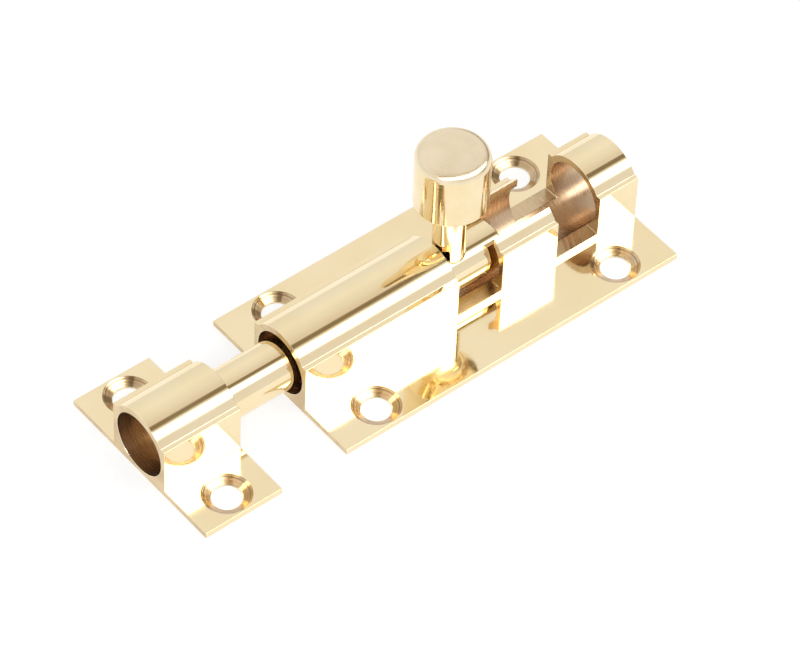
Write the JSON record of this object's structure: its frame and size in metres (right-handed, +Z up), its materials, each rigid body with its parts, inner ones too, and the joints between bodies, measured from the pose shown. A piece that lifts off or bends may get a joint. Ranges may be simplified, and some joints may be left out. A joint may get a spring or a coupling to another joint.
{
  "type": "barrel bolt latch",
  "caption": "Straight barrel bolt in polished brass: a round rod with a side knob slides and turns in a bored barrel on a screw-on plate and enters a matching keep.",
  "frame": {"origin": "centre of the barrel plate's underside, the face that lies on the door", "axes": "+X along the bolt, from the keep towards the plate's rear end, the way the bolt is drawn back; +Z up out of the plate; the knob swings down towards -Y or +Y"},
  "size_m": [0.0713, 0.0254, 0.0247],
  "materials": {
    "extruded_brass": "polished extrusion, sawn and milled faces left with fine tool marks",
    "turned_brass": "turned and polished",
    "spring_bronze": "drawn spring wire"
  },
  "bodies": {
    "base": {"barrel_plate": "extruded_brass", "keep": "extruded_brass"},
    "ring": {"friction_ring": "spring_bronze"},
    "bolt": {"bolt_rod": "turned_brass", "knob": "turned_brass"}
  },
  "joints": [
    {"name": "bolt_throw", "type": "slide", "parent": "base", "child": "ring", "axis": [1, 0, 0], "range_m": [0, 0.0174]},
    {"name": "knob_turn", "type": "hinge", "parent": "ring", "child": "bolt", "pos_m": [0, 0, 0.0047], "axis": [1, 0, 0], "range_deg": [-86.4, 86.4]}
  ]
}
